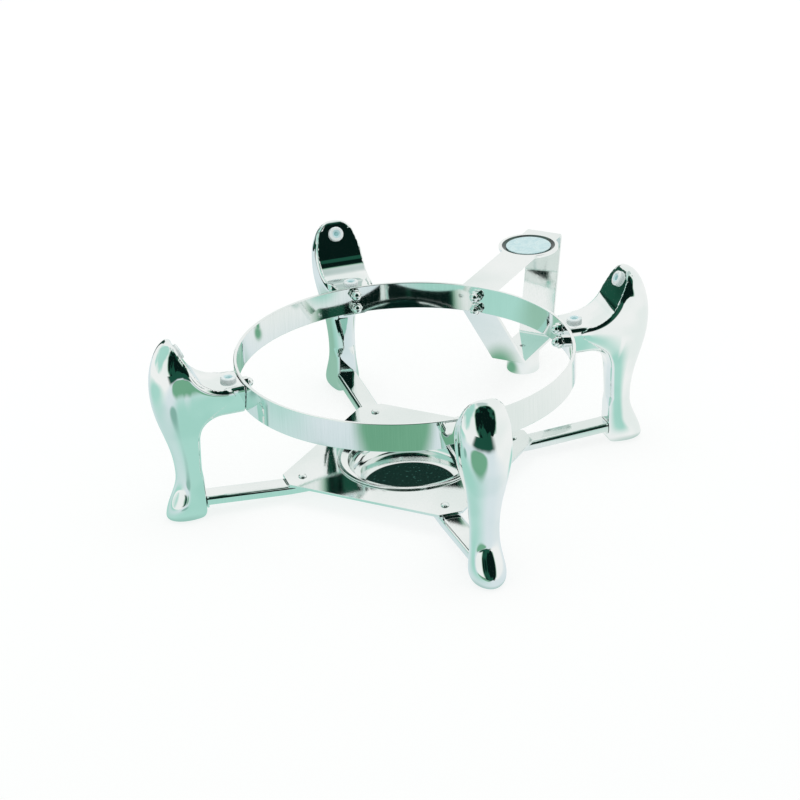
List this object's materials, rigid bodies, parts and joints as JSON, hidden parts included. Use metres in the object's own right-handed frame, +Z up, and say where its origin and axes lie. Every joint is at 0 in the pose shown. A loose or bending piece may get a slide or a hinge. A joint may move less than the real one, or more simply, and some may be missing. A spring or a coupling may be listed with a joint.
{
  "type": "chafing dish stand",
  "caption": "Round chafing dish stand: a polished ring on cast chrome legs with horns, a burner plate on rails with a lift-out fuel cup, and a rear bracket.",
  "frame": {"origin": "on the table under the middle of the ring, which is the middle of the footprint", "axes": "+X towards the right leg, +Y towards the back leg, +Z up; the rear bracket lies between them at 45 degrees"},
  "size_m": [0.4674, 0.4674, 0.1725],
  "materials": {
    "cast_chrome": "mirror polished casting",
    "polished_steel": "bright polished sheet",
    "cup_steel": "bright polished pressing",
    "fastener_chrome": "polished",
    "fastener_steel": "plain turned",
    "silicone": "translucent satin"
  },
  "bodies": {
    "root": {"ring_band": "polished_steel", "leg_right": "cast_chrome", "seat_pad_right": "silicone", "horn_pad_right": "silicone", "leg_stud_right_lower": "fastener_steel", "cap_nut_right_lower": "fastener_chrome", "leg_stud_right_upper": "fastener_steel", "cap_nut_right_upper": "fastener_chrome", "rail_right": "polished_steel", "rail_screw_right": "fastener_steel", "plate_rivet_right": "fastener_steel", "leg_back": "cast_chrome", "seat_pad_back": "silicone", "horn_pad_back": "silicone", "leg_stud_back_lower": "fastener_steel", "cap_nut_back_lower": "fastener_chrome", "leg_stud_back_upper": "fastener_steel", "cap_nut_back_upper": "fastener_chrome", "rail_back": "polished_steel", "rail_screw_back": "fastener_steel", "plate_rivet_back": "fastener_steel", "leg_left": "cast_chrome", "seat_pad_left": "silicone", "horn_pad_left": "silicone", "leg_stud_left_lower": "fastener_steel", "cap_nut_left_lower": "fastener_chrome", "leg_stud_left_upper": "fastener_steel", "cap_nut_left_upper": "fastener_chrome", "rail_left": "polished_steel", "rail_screw_left": "fastener_steel", "plate_rivet_left": "fastener_steel", "leg_front": "cast_chrome", "seat_pad_front": "silicone", "horn_pad_front": "silicone", "leg_stud_front_lower": "fastener_steel", "cap_nut_front_lower": "fastener_chrome", "leg_stud_front_upper": "fastener_steel", "cap_nut_front_upper": "fastener_chrome", "rail_front": "polished_steel", "rail_screw_front": "fastener_steel", "plate_rivet_front": "fastener_steel", "burner_plate": "polished_steel", "bracket_loop": "polished_steel", "bracket_pad": "silicone", "bracket_foot": "cast_chrome", "bracket_foot_screw": "fastener_steel", "bracket_stud_lower": "fastener_steel", "cap_nut_bracket_lower": "fastener_chrome", "bracket_stud_upper": "fastener_steel", "cap_nut_bracket_upper": "fastener_chrome"},
    "fuel_cup": {"fuel_cup": "cup_steel"}
  },
  "joints": [
    {"name": "cup_lift", "type": "slide", "parent": "root", "child": "fuel_cup", "axis": [0, 0, 1], "range_m": [0, 0.04]}
  ]
}
